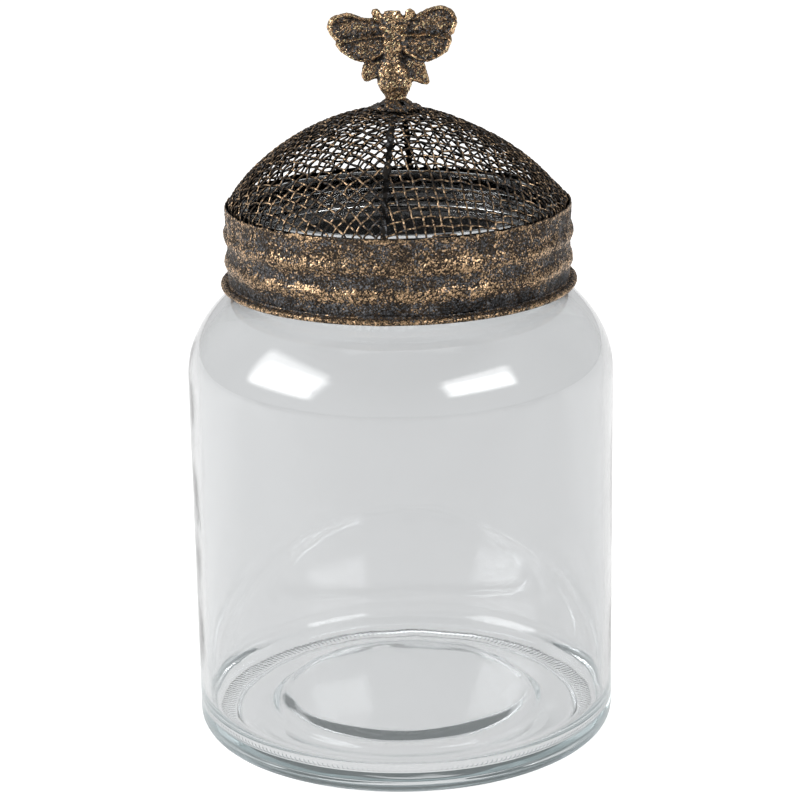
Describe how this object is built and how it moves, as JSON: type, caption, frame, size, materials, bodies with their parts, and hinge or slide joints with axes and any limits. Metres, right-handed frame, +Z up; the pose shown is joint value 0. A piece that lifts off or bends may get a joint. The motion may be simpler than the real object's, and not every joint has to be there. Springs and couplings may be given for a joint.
{
  "type": "jar with mesh lid",
  "caption": "Wide-mouth glass jar with a lift-off lid: sheet-metal band, domed woven-wire top and cast bee finial.",
  "frame": {"origin": "centre of the jar's base, on the surface that it stands on", "axes": "+Z up along the jar's axis, -Y towards the viewer of the picture, +X to the right"},
  "size_m": [0.14, 0.14, 0.2411],
  "materials": {
    "clear_glass": "clear blown glass, faintly blue-green, slightly wavy",
    "aged_band": "oxidised dark steel with a rubbed bronze speckle",
    "dark_hoop": "dark oxidised steel",
    "aged_wire": "dark woven wire with a rubbed bronze speckle",
    "seam_strip": "dark oxidised steel",
    "aged_plate": "rough oxidised metal with a bronze speckle",
    "aged_casting": "rough casting, dark in the hollows and rubbed gold on the high places",
    "plated_steel": "plain plated steel"
  },
  "bodies": {
    "jar": {"glass_jar": "clear_glass"},
    "lid": {"lid_band": "aged_band", "mesh_hoop": "dark_hoop", "mesh_panel_left": "aged_wire", "mesh_panel_right": "aged_wire", "seam_strip_front": "seam_strip", "seam_strip_back": "seam_strip", "finial_plate": "aged_plate", "bee_finial": "aged_casting", "finial_screw": "plated_steel", "inner_washer": "plated_steel"}
  },
  "joints": [
    {"name": "lid_lift", "type": "slide", "parent": "jar", "child": "lid", "axis": [0, 0, 1], "range_m": [0, 0.04]}
  ]
}
